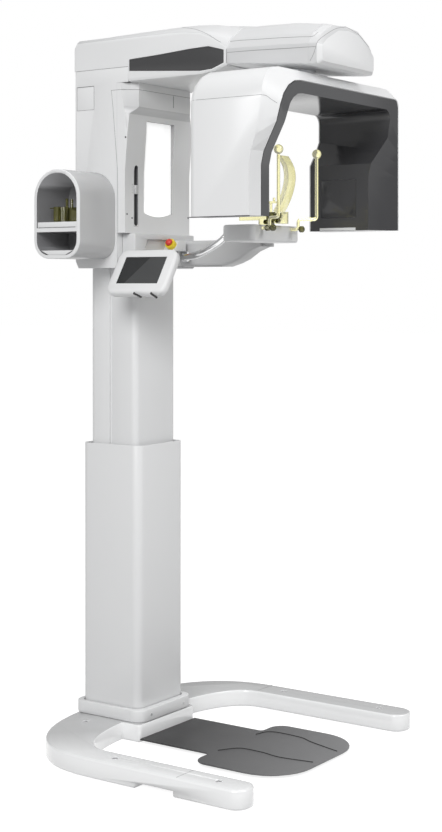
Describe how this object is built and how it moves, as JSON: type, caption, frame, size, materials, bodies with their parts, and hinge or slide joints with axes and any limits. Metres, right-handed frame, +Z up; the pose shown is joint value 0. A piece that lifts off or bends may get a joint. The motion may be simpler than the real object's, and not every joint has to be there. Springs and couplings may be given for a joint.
{
  "type": "cone beam ct scanner",
  "caption": "Floor-standing cone beam CT scanner: horseshoe base, telescopic column, patient head rest and a gantry that turns round the head.",
  "frame": {"origin": "on the floor under the middle of the column", "axes": "+Z up, -Y towards the patient's side (the foot plate), -X towards the accessory box and the control panel"},
  "size_m": [1.062, 0.99, 2.35],
  "materials": {
    "base_metal": "glossy white painted casting",
    "footplate_metal": "dark grey satin paint",
    "column_paint": "white painted aluminium extrusion",
    "white_cover": "satin white moulded cover",
    "slide_plastic": "grey sliding plastic",
    "inner_steel": "machined steel",
    "inner_aluminium": "bare aluminium",
    "mirror_glass": "silvered mirror",
    "clear_yellow": "clear yellow plastic",
    "clear_olive": "clear dark yellow plastic",
    "stop_yellow": "yellow plastic",
    "stop_red": "red plastic",
    "gloss_black": "glossy black window",
    "handle_chrome": "polished chrome",
    "dark_insert": "dark grey satin plastic",
    "dark_liner": "dark grey satin plastic",
    "belt_rubber": "black rubber belt"
  },
  "bodies": {
    "base": {"base_frame": "base_metal", "footplate": "footplate_metal", "collar_front": "white_cover", "collar_rear": "white_cover", "lower_column": "column_paint", "wear_pad_left": "slide_plastic", "wear_pad_right": "slide_plastic", "lift_motor": "inner_steel", "actuator_tube": "inner_aluminium"},
    "carriage": {"upper_column": "column_paint", "lift_rod": "inner_steel", "cabinet_shell": "white_cover", "access_cover": "white_cover", "cabinet_front_panel": "white_cover", "mirror": "mirror_glass", "spine_frame": "inner_aluminium", "arm_beam": "inner_aluminium", "accessory_box": "white_cover", "console_box": "white_cover", "estop_collar": "stop_yellow", "monitor_bracket": "white_cover", "chin_arm": "white_cover", "chin_table": "white_cover", "grab_handle": "handle_chrome", "chin_rest": "clear_yellow", "bite_piece": "clear_yellow", "arm_shell": "white_cover", "arm_front_shell": "white_cover", "arm_nose_cap": "white_cover", "arm_insert_left": "dark_insert", "arm_insert_right": "dark_insert", "slew_ring": "inner_steel", "rotation_motor": "inner_aluminium", "drive_belt": "belt_rubber"},
    "gantry": {"gantry_shell": "white_cover", "gantry_liner": "dark_liner", "left_unit_floor": "white_cover", "right_unit_floor": "white_cover", "sensor_window": "gloss_black", "detector_panel": "inner_aluminium", "xray_tube": "inner_aluminium", "collimator": "inner_steel", "gantry_beam": "inner_aluminium", "gantry_hub": "inner_aluminium"},
    "motor_wheel": {"motor_pulley": "inner_aluminium"},
    "panel": {"monitor_housing": "white_cover", "monitor_screen": "gloss_black"},
    "stop_button": {"estop_button": "stop_red"},
    "upper_tray": {"upper_tray": "white_cover", "spare_bite_holder": "clear_olive", "spare_chin_cup": "clear_olive"},
    "lower_tray": {"lower_tray": "white_cover"},
    "laser_slider": {"laser_knob": "slide_plastic"},
    "blade": {"forehead_blade": "clear_yellow"},
    "temple_left": {"temple_rod_left": "clear_yellow", "temple_pad_left": "clear_yellow"},
    "temple_right": {"temple_rod_right": "clear_yellow", "temple_pad_right": "clear_yellow"},
    "knob_left": {"temple_knob_left": "clear_olive"},
    "knob_right": {"temple_knob_right": "clear_olive"}
  },
  "joints": [
    {"name": "column_lift", "type": "slide", "parent": "base", "child": "carriage", "axis": [0, 0, 1], "range_m": [-0.55, 0.15]},
    {"name": "gantry_rotation", "type": "hinge", "parent": "carriage", "child": "gantry", "pos_m": [0, -0.667, 2.155], "axis": [0, 0, 1], "range_deg": [-180, 180]},
    {"name": "motor_pulley_spin", "type": "hinge", "parent": "carriage", "child": "motor_wheel", "pos_m": [0, -0.45, 2.2105], "axis": [0, 0, 1], "range_deg": [-810, 810]},
    {"name": "monitor_tilt", "type": "hinge", "parent": "carriage", "child": "panel", "pos_m": [-0.18369, -0.213, 1.52239], "axis": [0, 1, 0], "range_deg": [-28, 2]},
    {"name": "estop_press", "type": "slide", "parent": "carriage", "child": "stop_button", "axis": [0.8425, 0, -0.5388], "range_m": [0, 0.004], "stiffness_N_per_m": 1500},
    {"name": "upper_tray_slide", "type": "slide", "parent": "carriage", "child": "upper_tray", "axis": [-1, 0, 0], "range_m": [0, 0.1]},
    {"name": "lower_tray_slide", "type": "slide", "parent": "carriage", "child": "lower_tray", "axis": [-1, 0, 0], "range_m": [0, 0.1]},
    {"name": "laser_slide", "type": "slide", "parent": "carriage", "child": "laser_slider", "axis": [0, 0, 1], "range_m": [-0.09, 0.05]},
    {"name": "forehead_tilt", "type": "hinge", "parent": "carriage", "child": "blade", "pos_m": [0, -0.588, 1.7395], "axis": [1, 0, 0], "range_deg": [-6, 10]},
    {"name": "temple_left_swing", "type": "hinge", "parent": "carriage", "child": "temple_left", "pos_m": [-0.085, -0.5833, 1.684], "axis": [0, 1, 0], "range_deg": [-12, 3]},
    {"name": "temple_right_swing", "type": "hinge", "parent": "carriage", "child": "temple_right", "pos_m": [0.085, -0.5833, 1.684], "axis": [0, 1, 0], "range_deg": [-3, 12]},
    {"name": "knob_left_spin", "type": "hinge", "parent": "carriage", "child": "knob_left", "pos_m": [-0.085, -0.62, 1.684], "axis": [0, 1, 0], "range_deg": [-120, 30]},
    {"name": "knob_right_spin", "type": "hinge", "parent": "carriage", "child": "knob_right", "pos_m": [0.085, -0.62, 1.684], "axis": [0, 1, 0], "range_deg": [-30, 120]}
  ],
  "couplings": [
    {"joint": "motor_pulley_spin", "follows": "gantry_rotation", "ratio": 4.5},
    {"joint": "temple_right_swing", "follows": "temple_left_swing", "ratio": -1},
    {"joint": "knob_left_spin", "follows": "temple_left_swing", "ratio": 10},
    {"joint": "knob_right_spin", "follows": "temple_left_swing", "ratio": -10}
  ]
}
